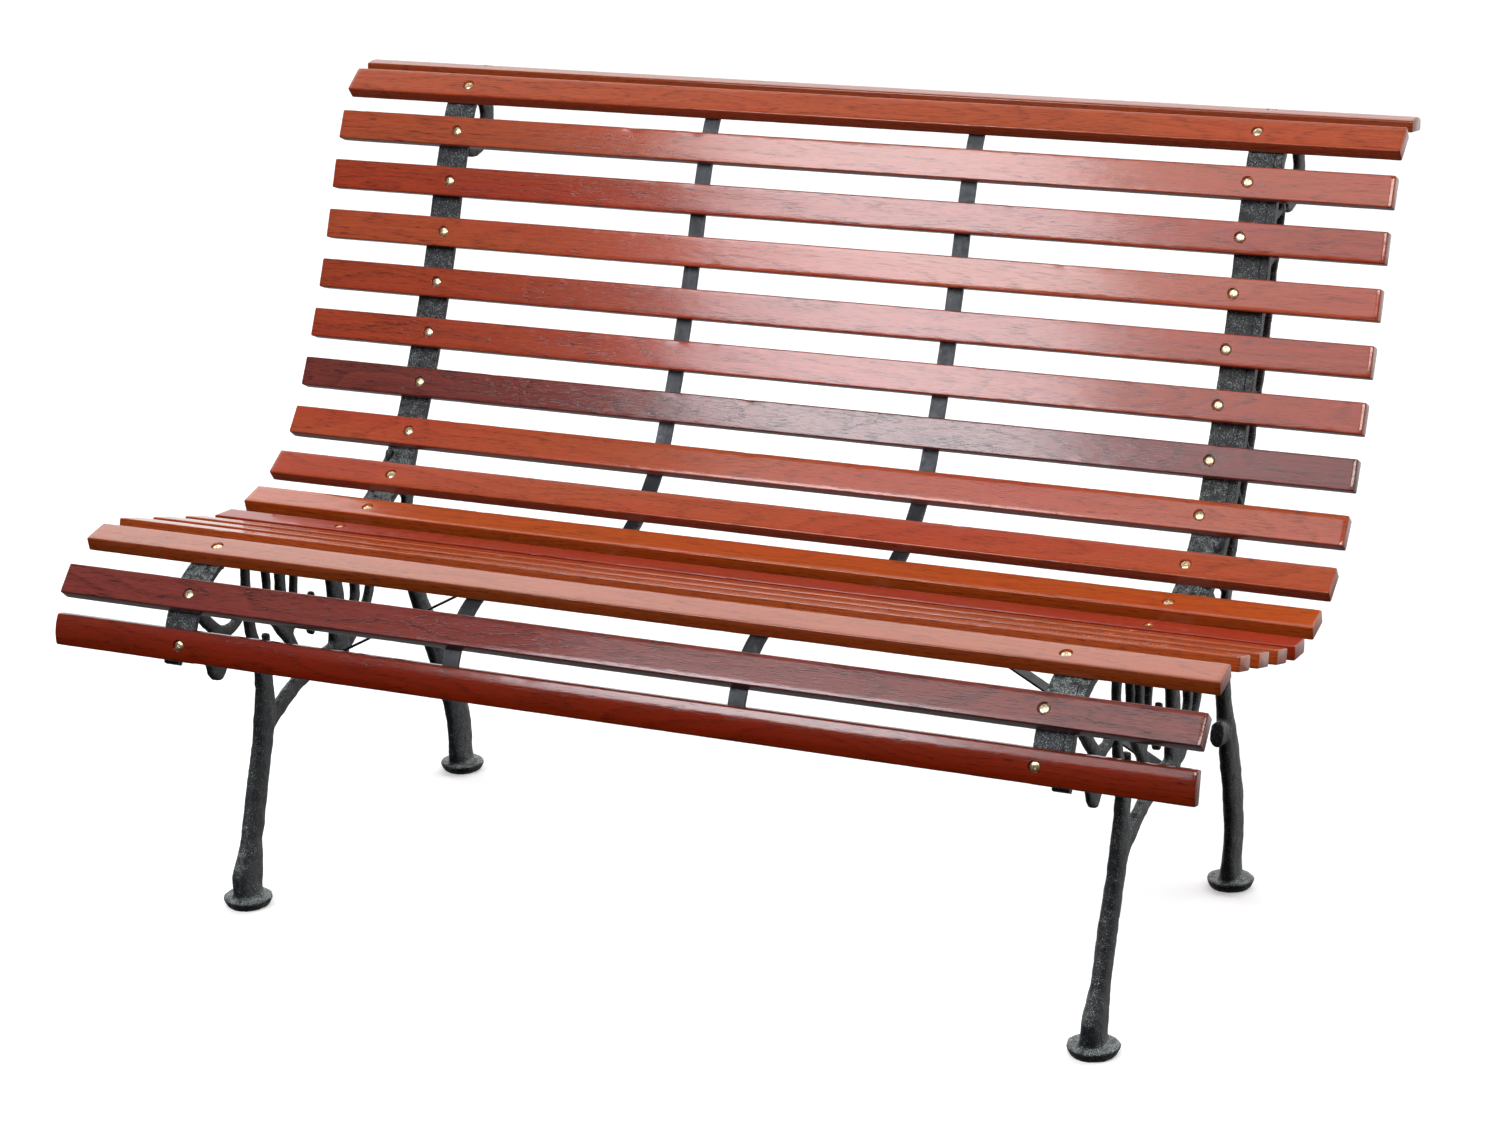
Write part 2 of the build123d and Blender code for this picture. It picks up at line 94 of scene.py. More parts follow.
def station(distance, gap=0.0):
    """(y, z, lean) at a distance along the bench line and a depth behind it."""
    left = distance
    for y, z, lean, length, bend in PIECES:
        if left <= length or (y, z) == PIECES[-1][:2]:
            y, z, lean = along(y, z, lean, left, bend)
            return y + gap * math.cos(lean), z - gap * math.sin(lean), lean
        left -= length


def slat_distances():
    """Distance of each slat's centre along the bench line, front to top."""
    total = 0.0
    found = []
    for step in SLAT_STEPS:
        total += step
        found.append(total)
    return found


SLAT_NAMES = (
    ["front_slat"]
    + [f"seat_slat_{n}" for n in range(1, 8)]
    + [f"back_slat_{n}" for n in range(1, 10)]
    + ["top_slat"]
)


def slat_matrix(distance):
    """Local x along the slat, y up the bench line, z out of the bench."""
    y, z, lean = station(distance)
    up = Vector((0, math.sin(lean), math.cos(lean)))
    out = Vector((0, -math.cos(lean), math.sin(lean)))
    m = Matrix.Identity(4)
    m.col[0][:3] = (1, 0, 0)
    m.col[1][:3] = up
    m.col[2][:3] = out
    m.col[3][:3] = (0, y, z)
    return m


# ------------------------------------------------------------- node helpers
class Nodes:
    """Small helper that adds and links shader nodes."""

    def __init__(self, name):
        self.mat = bpy.data.materials.new(name)
        self.mat.use_nodes = True
        self.tree = self.mat.node_tree
        self.tree.nodes.clear()
        self.out = self.tree.nodes.new("ShaderNodeOutputMaterial")
        self.shader = self.tree.nodes.new("ShaderNodeBsdfPrincipled")
        self.tree.links.new(self.shader.outputs[0], self.out.inputs[0])

    def put(self, socket, value):
        if isinstance(value, bpy.types.NodeSocket):
            self.tree.links.new(value, socket)
        else:
            socket.default_value = value

    def math(self, op, a, b=0.0, c=0.0, clamp=False):
        node = self.tree.nodes.new("ShaderNodeMath")
        node.operation = op
        node.use_clamp = clamp
        for socket, value in zip(node.inputs, (a, b, c)):
            self.put(socket, value)
        return node.outputs[0]

    def span(self, value, low, high, to_low=0.0, to_high=1.0):
        node = self.tree.nodes.new("ShaderNodeMapRange")
        for socket, given in zip(node.inputs, (value, low, high, to_low, to_high)):
            self.put(socket, given)
        return node.outputs[0]

    def mix(self, factor, a, b):
        node = self.tree.nodes.new("ShaderNodeMix")
        node.data_type = "RGBA"
        self.put(node.inputs[0], factor)
        self.put(node.inputs[6], a)
        self.put(node.inputs[7], b)
        return node.outputs[2]

    def place(self, scale, shift=(0, 0, 0)):
        """Object coordinates, scaled and shifted."""
        coords = self.tree.nodes.new("ShaderNodeTexCoord")
        node = self.tree.nodes.new("ShaderNodeMapping")
        node.inputs["Scale"].default_value = scale
        node.inputs["Location"].default_value = shift
        self.tree.links.new(coords.outputs["Object"], node.inputs[0])
        return node.outputs[0]

    def noise(self, vector, scale=1.0, detail=2.0, rough=0.5):
        node = self.tree.nodes.new("ShaderNodeTexNoise")
        node.inputs["Scale"].default_value = scale
        node.inputs["Detail"].default_value = detail
        node.inputs["Roughness"].default_value = rough
        self.put(node.inputs["Vector"], vector)
        return node.outputs["Fac"]

    def cells(self, vector, scale=1.0):
        node = self.tree.nodes.new("ShaderNodeTexVoronoi")
        node.inputs["Scale"].default_value = scale
        self.put(node.inputs["Vector"], vector)
        return node.outputs["Distance"]

    def ramp(self, value, stops):
        node = self.tree.nodes.new("ShaderNodeValToRGB")
        ramp = node.color_ramp
        while len(ramp.elements) < len(stops):
            ramp.elements.new(0.5)
        for element, (place, grey) in zip(ramp.elements, stops):
            element.position = place
            element.color = (grey, grey, grey, 1)
        self.put(node.inputs[0], value)
        return node.outputs[0]

    def split(self, vector):
        node = self.tree.nodes.new("ShaderNodeSeparateXYZ")
        self.put(node.inputs[0], vector)
        return node.outputs

    def bump(self, height, strength, distance):
        node = self.tree.nodes.new("ShaderNodeBump")
        node.inputs["Strength"].default_value = strength
        node.inputs["Distance"].default_value = distance
        self.put(node.inputs["Height"], height)
        return node.outputs[0]

    def finish(self, **sockets):
        for name, value in sockets.items():
            self.put(self.shader.inputs[name.replace("_", " ")], value)
        return self.mat


def rgb(red, green, blue):
    return (red, green, blue, 1.0)


# --------------------------------------------------------------- materials
def wood_material(name, tint, grain, seed):
    """Varnished, stained hardwood. Grain runs along local x.

    tint is the stain's colour and grain, from 0 to 1, how strongly the figure shows:
    the late wood and the pores are darker where it is strong.
    """
    depth_share = 0.4 - 0.16 * grain
    dark = [share * depth_share for share in tint]
    rng = random.Random(seed)
    n = Nodes(name)
    shift = (rng.uniform(-5, 5), rng.uniform(-5, 5), rng.uniform(-5, 5))
    x, y, z = n.split(n.place((1, 1, 1)))
    slow = n.noise(n.place((1.6, 9, 9), shift), 1.0, 2.0)
    wander = n.noise(n.place((4.5, 22, 22), shift), 1.0, 2.0)
    # growth rings round a pith that lies under the board and wanders along it
    depth = n.math("MULTIPLY_ADD", slow, 0.09, rng.uniform(0.012, 0.04))
    side = n.math("MULTIPLY_ADD", wander, 0.018, rng.uniform(-0.02, 0.0))
    up = n.math("ADD", z, depth)
    over = n.math("ADD", y, side)
    squares = n.math("ADD", n.math("MULTIPLY", up, up), n.math("MULTIPLY", over, over))
    radius = n.math("SQRT", squares)
    rings = n.math("FRACT", n.math("MULTIPLY", radius, rng.uniform(190, 260)))
    late = n.ramp(rings, ((0.0, 0.05), (0.55, 0.3), (0.86, 1.0), (1.0, 0.05)))
    fibre = n.noise(n.place((7, 700, 700), shift), 1.0, 3.0, 0.6)
    pores = n.noise(n.place((70, 900, 900), shift), 1.0, 1.0)
    dashes = n.math("MULTIPLY", n.span(pores, 0.56, 0.62), n.math("MULTIPLY_ADD", late, 0.6, 0.4))
    patches = n.noise(n.place((2.2, 14, 14), shift), 1.0, 3.0)
    # stain: darker where it pooled, along the arrises and in the grain
    rim = n.span(n.math("ABSOLUTE", y), SLAT_WIDTH / 2 - 0.0024, SLAT_WIDTH / 2 - 0.0002)
    amount = n.math("MULTIPLY", late, 0.45 * grain)
    amount = n.math("MULTIPLY_ADD", n.span(fibre, 0.35, 0.7), 0.15 + 0.2 * grain, amount)
    amount = n.math("MULTIPLY_ADD", dashes, 0.2 + 0.7 * grain, amount)
    amount = n.math("MULTIPLY_ADD", n.span(patches, 0.42, 0.66), 0.22, amount)
    amount = n.math("MULTIPLY_ADD", rim, 0.3, amount, clamp=True)
    warm = rgb(tint[0] * 1.12, tint[1] * 1.5, tint[2] * 1.2)
    light = n.mix(n.span(patches, 0.35, 0.6), rgb(*tint), warm)
    colour = n.mix(amount, light, rgb(*dark))
    relief = n.math("MULTIPLY_ADD", late, 0.25, n.math("MULTIPLY", dashes, -1.0))
    relief = n.math("MULTIPLY_ADD", fibre, 0.5, relief)
    orange_peel = n.noise(n.place((60, 240, 240), shift), 1.0, 1.0)
    normal = n.bump(relief, 0.35 + 0.3 * grain, 0.00025)
    coat_normal = n.bump(n.math("MULTIPLY_ADD", dashes, -0.8 * grain, orange_peel), 0.22, 0.0003)
    roughness = n.span(n.math("ADD", fibre, dashes), 0.2, 1.4, 0.42, 0.6)
    return n.finish(
        Base_Color=colour,
        Roughness=roughness,
        Normal=normal,
        Coat_Weight=1.0,
        Coat_Roughness=0.11,
        Coat_Normal=coat_normal,
        Coat_IOR=1.5,
        Specular_IOR_Level=0.06,
    )


def iron_material():
    """Rough sand casting under black paint, with light specks as painted glints, denser facing up."""
    n = Nodes("cast_iron_paint")
    at = n.place((1, 1, 1))
    grit_and_glint_noise = n.noise(at, 800.0, 2.0, 0.7)
    sand = n.cells(at, 560.0)
    lumps = n.noise(at, 110.0, 4.0, 0.6)
    slow = n.noise(at, 14.0, 3.0, 0.6)
    # Painted glints: light specks stand in for top light sparkling on the paint, denser facing up.
    geometry = n.tree.nodes.new("ShaderNodeNewGeometry")
    upward = n.split(geometry.outputs["Normal"])[2]
    facing = n.span(upward, 0.1, 0.85)
    threshold = n.math("MULTIPLY_ADD", facing, -0.12, 0.60)
    painted_glints = n.math("MULTIPLY", n.math("SUBTRACT", grit_and_glint_noise, threshold), 14.0, clamp=True)
    lumpy_painted_glints = n.math("MULTIPLY", painted_glints, n.span(lumps, 0.36, 0.56))
    colour = n.mix(n.span(slow, 0.35, 0.7), rgb(0.007, 0.008, 0.011), rgb(0.020, 0.023, 0.030))
    # Mix in the painted glints as a light grey-green.
    colour = n.mix(n.math("MULTIPLY", lumpy_painted_glints, 0.9), colour, rgb(0.40, 0.47, 0.46))
    height = n.math("MULTIPLY_ADD", lumps, 1.6, n.math("MULTIPLY_ADD", sand, 0.7, grit_and_glint_noise))
    normal = n.bump(height, 0.7, 0.0011)
    roughness = n.span(slow, 0.3, 0.7, 0.30, 0.48)
    return n.finish(Base_Color=colour, Roughness=roughness, Normal=normal, Specular_IOR_Level=0.5)


def steel_material(name, base, light, roughness):
    """Bar steel under thin paint, rubbed lighter in streaks."""
    n = Nodes(name)
    streaks = n.noise(n.place((60, 9, 9)), 1.0, 3.0, 0.6)
    mottle = n.noise(n.place((1, 1, 1)), 160.0, 3.0, 0.6)
    wear = n.math("MULTIPLY", n.span(streaks, 0.5, 0.75), n.span(mottle, 0.4, 0.65))
    colour = n.mix(wear, rgb(*base), rgb(*light))
    rough = n.span(mottle, 0.3, 0.7, roughness - 0.06, roughness + 0.1)
    normal = n.bump(mottle, 0.3, 0.0003)
    return n.finish(Base_Color=colour, Roughness=rough, Normal=normal, Metallic=0.25)


def metal_material(name, base, stain, roughness):
    """Bare plated metal with a little tarnish."""
    n = Nodes(name)
    mottle = n.noise(n.place((1, 1, 1)), 420.0, 3.0, 0.6)
    scratches = n.noise(n.place((1500, 240, 240)), 1.0, 2.0, 0.6)
    colour = n.mix(n.span(mottle, 0.42, 0.7), rgb(*base), rgb(*stain))
    rough = n.span(scratches, 0.3, 0.7, roughness - 0.06, roughness + 0.12)
    normal = n.bump(n.math("ADD", mottle, scratches), 0.12, 0.0002)
    return n.finish(Base_Color=colour, Roughness=rough, Normal=normal, Metallic=1.0)


# ------------------------------------------------------------ mesh helpers
def new_piece(name, bm, material, replaced, matrix=None, sharp=35):
    """Make an object from a bmesh and hang it on the body."""
    mesh = bpy.data.meshes.new(name)
    bm.to_mesh(mesh)
    bm.free()
    mesh.polygons.foreach_set("use_smooth", [True] * len(mesh.polygons))
    mesh.set_sharp_from_angle(angle=math.radians(sharp))
    mesh.materials.append(material)
    piece = bpy.data.objects.new(name, mesh)
    bpy.context.scene.collection.objects.link(piece)
    if matrix is not None:
        piece.matrix_world = matrix
        bpy.context.view_layer.update()
    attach(piece, BODY)
    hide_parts(*replaced)


def as_object(name, bm):
    """Turn a bmesh into an object of the scene."""
    mesh = bpy.data.meshes.new(name)
    bm.to_mesh(mesh)
    bm.free()
    made = bpy.data.objects.new(name, mesh)
    bpy.context.scene.collection.objects.link(made)
    return made


def baked(bm, *modifiers):
    """The bmesh's shape after modifiers, as a new bmesh."""
    work = as_object("work", bm)
    mesh = work.data
    for kind, settings in modifiers:
        modifier = work.modifiers.new(kind, kind)
        for key, value in settings.items():
            setattr(modifier, key, value)
    graph = bpy.context.evaluated_depsgraph_get()
    result = bmesh.new()
    result.from_object(work, graph)
    bpy.data.objects.remove(work)
    bpy.data.meshes.remove(mesh)
    return result


def bridge(bm, rings):
    """Join rings of vertices with quads, and close both ends."""
    for a, b in zip(rings, rings[1:]):
        for i in range(len(a)):
            j = (i + 1) % len(a)
            bm.faces.new((a[i], a[j], b[j], b[i]))
    bm.faces.new(list(reversed(rings[0])))
    bm.faces.new(rings[-1])


def level_ring(bm, x, radius, z, count):
    """A level circle of vertices round the point x, 0."""
    angles = [math.tau * k / count for k in range(count)]
    return [bm.verts.new((x + radius * math.cos(a), radius * math.sin(a), z)) for a in angles]


# -------------------------------------------------------------------- slats
STATION_STEP = 0.006
ARRIS = 0.0016
CHIPS_PER_SLAT = 3
CHIP_REACH = 0.68
CHIP_HALF_LENGTHS = (0.006, 0.014)
CHIP_DEPTHS = (0.0002, 0.0004)
BORE_RADIUS = 0.0072
BORE_LIP_RADIUS = 0.0077
BORE_DEPTH = 0.0035


def slat_profile(crowned):
    """Outline of a slat across its length: points (y, z, is on an arris)."""
    half = SLAT_WIDTH / 2
    shoulder = -CROWN_RISE if crowned else 0.0
    corners = ((half, shoulder), (half, -SLAT_THICK), (-half, -SLAT_THICK), (-half, shoulder))
    arcs = ((90, 0), (0, -90), (-90, -180), (180, 90))
    points = []
    for (cy, cz), (start, end) in zip(corners, arcs):
        y0 = cy - math.copysign(ARRIS, cy)
        z0 = cz - ARRIS if cz > -SLAT_THICK / 2 else cz + ARRIS
        for step in range(5):
            angle = math.radians(start + (end - start) * step / 4)
            points.append((y0 + ARRIS * math.cos(angle), z0 + ARRIS * math.sin(angle), True))
    outline = []
    for index, point in enumerate(points):
        outline.append(point)
        following = points[(index + 1) % len(points)]
        run = math.hypot(following[0] - point[0], following[1] - point[1])
        extra = int(run / 0.0045)
        for step in range(1, extra):
            share = step / extra
            y = point[0] + (following[0] - point[0]) * share
            z = point[1] + (following[1] - point[1]) * share
            outline.append((y, z, False))
    if crowned:
        crown = []
        for y, z, arris in outline:
            if z > -CROWN_RISE - ARRIS * 0.5 and abs(y) < half - ARRIS * 0.4:
                z += CROWN_RISE * (1 - (y / half) ** 2)
            crown.append((y, z, arris))
        outline = crown
    return outline


def slat_shape(crowned, seed):
    """One board with eased, slightly uneven arrises and rounded ends."""
    rng = random.Random(seed)
    outline = slat_profile(crowned)
    bm = bmesh.new()
    count = round(SLAT_LENGTH / STATION_STEP)
    ends = ((0.0, 0.0011), (0.0003, 0.0005), (0.0011, 0.0001))
    places = [(-SLAT_LENGTH / 2 + off, inset) for off, inset in ends]
    places += [(-SLAT_LENGTH / 2 + SLAT_LENGTH * i / count, 0.0) for i in range(1, count)]
    places += [(SLAT_LENGTH / 2 - off, inset) for off, inset in reversed(ends)]
    chips = [
        (
            rng.uniform(-CHIP_REACH, CHIP_REACH),
            rng.choice((-1, 1)),
            rng.uniform(*CHIP_HALF_LENGTHS),
            rng.uniform(*CHIP_DEPTHS),
        )
        for _ in range(CHIPS_PER_SLAT)
    ]
    rings = []
    for x, inset in places:
        ring = []
        for y, z, arris in outline:
            ny = y / (SLAT_WIDTH / 2)
            nz = (z + SLAT_THICK / 2) / (SLAT_THICK / 2)
            here = Vector((x * 9, y * 60 + seed * 3.7, z * 60))
            dent = 0.00012 * noise.noise(here)
            if arris:
                dent -= 0.00022 * abs(noise.noise(Vector((x * 40, y * 90 + seed, z * 90))))
                for where, side, long, deep in chips:
                    if side * y > 0 and z > -SLAT_THICK / 2 and abs(x - where) < long:
                        dent -= deep * (1 - ((x - where) / long) ** 2)
            grow = dent - inset
            ring.append(
                bm.verts.new((x, y + grow * max(-1, min(1, ny)), z + grow * max(-1, min(1, nz))))
            )
        rings.append(ring)
    bridge(bm, rings)
    bmesh.ops.recalc_face_normals(bm, faces=bm.faces)
    return bm


def hole_cutter():
    """Cutters for the two counterbores, each with a little worn lip at its mouth."""
    bm = bmesh.new()
    profile = (
        (BORE_RADIUS, -BORE_DEPTH),
        (BORE_RADIUS, -0.0005),
        (BORE_LIP_RADIUS, 0.0002),
        (BORE_LIP_RADIUS, 0.01),
    )
    for side in (-1, 1):
        bridge(bm, [level_ring(bm, side * SCREW_X, radius, z, 32) for radius, z in profile])
    bmesh.ops.recalc_face_normals(bm, faces=bm.faces)
    return as_object("hole_cutter", bm)


# The stains on the boards, and how strongly the wood's figure shows through each.
SCARLET = ((0.24, 0.015, 0.002), 0.5)
VERMILION = ((0.43, 0.026, 0.004), 0.3)
AMBER = ((0.55, 0.075, 0.01), 0.35)
RUSSET = ((0.38, 0.06, 0.01), 0.4)
CHERRY = ((0.53, 0.075, 0.03), 0.4)
CHESTNUT = ((0.46, 0.05, 0.018), 0.5)
MAROON = ((0.24, 0.034, 0.028), 0.75)
SLAT_STAINS = {
    "front_slat": SCARLET,
    "seat_slat_1": MAROON,
    "seat_slat_2": RUSSET,
    "seat_slat_6": VERMILION,
    "back_slat_3": MAROON,
    "back_slat_4": CHESTNUT,
    "back_slat_5": CHESTNUT,
    "back_slat_7": CHESTNUT,
    "top_slat": RUSSET,
}


def slat_stain(name):
    """Stain of a slat: amber on the seat and cherry on the back unless it is named above."""
    return SLAT_STAINS.get(name, AMBER if name.startswith("seat") else CHERRY)


def make_slats():
    """Every slat as a bored board, in its own stain."""
    cutter = hole_cutter()
    for index, (name, distance) in enumerate(zip(SLAT_NAMES, slat_distances())):
        crowned = index in (0, len(SLAT_NAMES) - 1)
        shape = slat_shape(crowned, index + 1)
        settings = {"object": cutter, "operation": "DIFFERENCE", "solver": "EXACT"}
        shape = baked(shape, ("BOOLEAN", settings))
        tint, grain = slat_stain(name)
        material = wood_material(f"wood_{name}", tint, grain, 40 + index)
        new_piece(f"{name}_board", shape, material, [name], slat_matrix(distance), 40)
    bpy.data.objects.remove(cutter)


# -------------------------------------------------------------- side frames
VOXEL = 0.0022
# Flange and web: where they lie in x, and how far behind the slats' outer faces.
FLANGE_X = (0.5172, 0.5502)
FLANGE_DEPTHS = (0.0171, 0.0232)
FLANGE_EASE = 0.0008
WEB_X = (0.5494, 0.5596)
WEB_DEPTHS = (0.0182, 0.0310)
WEB_EASE = 0.0012
STRIP_END_GAP = 0.001
# Middles and half thicknesses of the branches in x.
TRUNK_X = 0.5505
TRUNK_HALF = 0.0064
STUB_X = TRUNK_X - 0.002
STUB_HALF = 0.0085
TWIG_X = 0.552
TWIG_HALF = 0.0048
LATTICE_HALF = 0.0042
SCROLL_HALF = 0.0050
LIMB_MID_X = 552

# Legs: the foot's x, the height where the leg stops leaning, and stations of
# (y, z, half x, half y); millimetres, each section level.
LEGS = (
    (
        546, 305,
        (
            (-279, 8, 16, 22), (-277, 24, 13, 24), (-275, 42, 12, 27), (-268, 60, 11, 22),
            (-260, 80, 10, 19), (-246, 120, 10, 18), (-232, 160, 10, 18), (-220, 192, 9, 18),
            (-213, 215, 9, 20), (-209, 240, 8, 18), (-207, 262, 7, 15), (-209, 282, 6, 12),
            (-214, 298, 5, 9), (-222, 322, 5, 9), (-228, 340, 5, 9), (-231, 375, 5, 8),
            (-231, 404, 5, 7), (-229, 440, 5, 7),
        ),
    ),
    (
        538, 352,
        (
            (230, 8, 14, 22), (230, 30, 10, 25), (231, 60, 9, 26), (225, 100, 9, 25),
            (212, 138, 9, 26), (195, 180, 9, 25), (184, 205, 9, 22), (170, 232, 9, 18),
            (159, 258, 8, 16), (149, 290, 8, 14), (143, 330, 6, 12), (143, 352, 5, 11),
            (147, 400, 5, 11), (160, 442, 5, 10), (186, 490, 5, 8),
        ),
    ),
)
# Load-bearing limbs above the legs: stations of (y, z, half width), millimetres.
TRUNKS = (
    (
        (-206, 208, 13), (-185, 219, 11.5), (-150, 235, 11), (-118, 244, 11), (-80, 250, 13),
        (-50, 250, 19),
    ),
    ((-36, 246, 20), (-37, 262, 20), (-38, 285, 18), (-38, 328, 16), (-46, 370, 13), (-50, 400, 13)),
)
# Cut-off stub on the rear leg, left flat at its end.
STUB = ((165, 224, 13), (150, 226, 14), (131, 231, 16))
# Thinner branches in the plane of the casting's outer face.
TWIGS = (
    (
        (-372, 418, 7.5), (-340, 395, 7.5), (-314, 371, 8.5), (-297, 357, 8), (-281, 350, 8),
        (-262, 352, 7), (-248, 361, 6.5), (-231, 380, 6),
    ),
    ((-303, 352, 10), (-300, 338, 22), (-300, 326, 26), (-300, 317, 22)),
    ((-200, 260, 11), (-195.5, 288, 7), (-195.5, 318, 4.5)),
    ((-118, 246, 11), (-140, 288, 9.5), (-152, 318, 8.5), (-157, 350, 9), (-157, 432, 9)),
    ((-148, 302, 8), (-168, 322, 6.5), (-184, 345, 6), (-187, 380, 6), (-190, 438, 6)),
    ((-145, 305, 7), (-134, 335, 6), (-129, 363, 6), (-118, 424, 6)),
    ((-150, 312, 6), (-120, 317, 7), (-94, 316, 8), (-45, 308, 7)),
    ((-96, 318, 9), (-96, 306, 15), (-96, 296, 6)),
    ((-92, 316, 7), (-90.5, 341, 4)),
    ((-20, 262, 13), (-2, 288, 10), (10, 312, 8), (9, 340, 8), (5, 402, 8)),
    ((-14, 258, 12), (18, 276, 10), (40, 300, 8), (49, 335, 7.5), (46, 418, 7.5)),
    ((145, 356, 8), (108, 392, 6), (70, 432, 7)),
    ((150, 404, 8), (118, 430, 6), (112, 468, 7)),
)
# Curl at the lower end of the web and the flange's outer part: middles of its rounds,
# their radius, and where it lies in x.
FRONT_CURL = ((-0.3945, 0.354), (-0.3925, 0.3485), (-0.3895, 0.3465))
CURL_RADIUS = 0.003
CURL_X = (0.540, 0.5596)
# Feet: middle in x and y, and the rim's radius.
FEET = ((0.546, -0.279, 0.0300), (0.538, 0.230, 0.0290))
# Section of a foot from the ground up: shares of the rim's radius, and heights.
FOOT_SECTION = (
    (0.84, 0.0), (0.87, 0.0015), (0.96, 0.0068), (0.995, 0.0092),
    (0.995, 0.0108), (0.96, 0.0122), (0.72, 0.0126), (0.45, 0.0134),
)
LATTICE_BAYS = 7
LATTICE_START = 0.633
LATTICE_BAY = 0.058
LATTICE_DEPTH = 0.050
SCROLL_RADIUS = 0.050
SCROLL_BAND = 0.030
SCROLL_TURN = 190


def spline(points, steps):
    """Points of a smooth curve through the given ones, evenly spaced in parameter."""

    def blend(p, q, r, s, t):
        square = (2 * p - 5 * q + 4 * r - s) * t * t
        cube = (3 * q - p - 3 * r + s) * t**3
        return 0.5 * (2 * q + (r - p) * t + square + cube)

    found = []
    padded = [points[0]] + list(points) + [points[-1]]
    for around in zip(padded, padded[1:], padded[2:], padded[3:]):
        for step in range(steps):
            found.append(tuple(blend(*values, step / steps) for values in zip(*around)))
    found.append(tuple(points[-1]))
    return found


def oval_ring(bm, middle, across, half, half_x, square, seed):
    """Ring of vertices round a branch: an oval, squarer for a smaller power."""
    ring = []
    for k in range(20):
        angle = math.tau * k / 20
        grow = 1 + 0.07 * noise.noise(Vector((k * 0.8 + seed, middle.y * 45, middle.z * 45)))
        flat = math.copysign(abs(math.cos(angle)) ** square, math.cos(angle))
        deep = math.copysign(abs(math.sin(angle)) ** square, math.sin(angle))
        at = middle + across * (half * grow * flat)
        at.x += half_x * grow * deep
        ring.append(bm.verts.new(at))
    return ring


def add_leg(bm, foot_x, upright_from, stations, seed):
    """Add a leg through its level sections, leaning in to its foot."""
    smooth = spline([tuple(v * MM for v in s) for s in stations], 5)
    rings = []
    for y, z, half_x, half_y in smooth:
        lean = min(1.0, z / (upright_from * MM))
        x = (foot_x + (LIMB_MID_X - foot_x) * lean) * MM
        square = 0.85 if half_x > 0.007 else 0.6
        rings.append(oval_ring(bm, Vector((x, y, z)), Vector((0, 1, 0)), half_y, half_x, square, seed))
    bridge(bm, rings)


def add_branch(bm, stations, mid_x, half_x, seed, square=0.6):
    """Add a branch whose stations are (y, z, half width), square to its own path."""
    rings = []
    points = [Vector((0, y, z)) for y, z, _ in stations]
    for index, (y, z, half) in enumerate(stations):
        ahead = points[min(index + 1, len(points) - 1)] - points[max(index - 1, 0)]
        ahead.normalize()
        across = Vector((0, ahead.z, -ahead.y))
        rings.append(oval_ring(bm, Vector((mid_x, y, z)), across, half, half_x, square, seed))
    bridge(bm, rings)


def rounded(stations):
    """Stations in metres with rounded tips added at both ends."""
    result = [(y * MM, z * MM, half * MM) for y, z, half in stations]
    smooth = spline(result, 5)
    for at, after in ((0, 1), (-1, -2)):
        y, z, half = smooth[at]
        dy, dz = y - smooth[after][0], z - smooth[after][1]
        size = math.hypot(dy, dz)
        tips = [
            (y + dy / size * half * push, z + dz / size * half * push, half * shrink)
            for push, shrink in ((0.45, 0.88), (0.8, 0.55), (0.95, 0.2))
        ]
        smooth = list(reversed(tips)) + smooth if at == 0 else smooth + tips
    return smooth


def add_strip(bm, x_span, depths, end, ease):
    """Add a strip with rounded edges that follows the bench line between two depths."""
    near, far = depths
    corners = ((x_span[1], near), (x_span[1], far), (x_span[0], far), (x_span[0], near))
    signs = ((1, -1), (1, 1), (-1, 1), (-1, -1))
    starts = (90, 0, -90, -180)
    section = []
    for (x, gap), (sx, sg), start in zip(corners, signs, starts):
        for step in range(4):
            angle = math.radians(start - 90 * step / 3)
            at_x = x - sx * ease + ease * math.cos(angle)
            depth = gap - sg * ease - ease * math.sin(angle)
            section.append((at_x, depth))
    count = round(end / 0.0025)
    rings = []
    for index in range(count + 1):
        ring = []
        for x, gap in section:
            y, z, _ = station(end * index / count, gap)
            lump = 0.00035 * noise.fractal(Vector((x * 90, y * 90, z * 90)), 0.9, 2.1, 3)
            y, z, _ = station(end * index / count, gap + lump)
            ring.append(bm.verts.new((x + lump * 0.6, y, z)))
        rings.append(ring)
    bridge(bm, rings)


def add_rod(bm, y, z, radius, x_span):
    """Add a short round rod that lies along x."""
    angles = [math.tau * k / 12 for k in range(12)]
    circle = [(y + radius * math.cos(a), z + radius * math.sin(a)) for a in angles]
    bridge(bm, [[bm.verts.new((x, cy, cz)) for cy, cz in circle] for x in x_span])


def add_disc(bm, x, y, rim):
    """Add a round foot, undercut towards the ground and worn at its rim."""
    rings = []
    for share, z in FOOT_SECTION:
        ring = []
        for k in range(56):
            a = math.tau * k / 56
            r = rim * share * (1 + 0.015 * math.sin(3 * a + 1) + 0.008 * math.sin(7 * a))
            tilt = 0.0006 * math.sin(a + 0.8) if z > 0.005 else 0.0
            ring.append(bm.verts.new((x + r * math.cos(a), y + r * math.sin(a), z + tilt)))
        rings.append(ring)
    bridge(bm, rings)


def scroll_stations():
    """Stations round the ram's-horn scroll behind the top slat."""
    y, z, lean = station(LINE_LENGTH, SLAT_THICK)
    middle = SCROLL_RADIUS - SCROLL_BAND / 2
    centre_y = y + SCROLL_RADIUS * math.cos(lean)
    centre_z = z - SCROLL_RADIUS * math.sin(lean)
    found = []
    for step in range(41):
        turn = lean + math.radians(SCROLL_TURN) * step / 40
        half = SCROLL_BAND / 2 * (1 + 0.25 * (step / 40) ** 2)
        found.append((centre_y - middle * math.cos(turn), centre_z + middle * math.sin(turn), half))
    return found


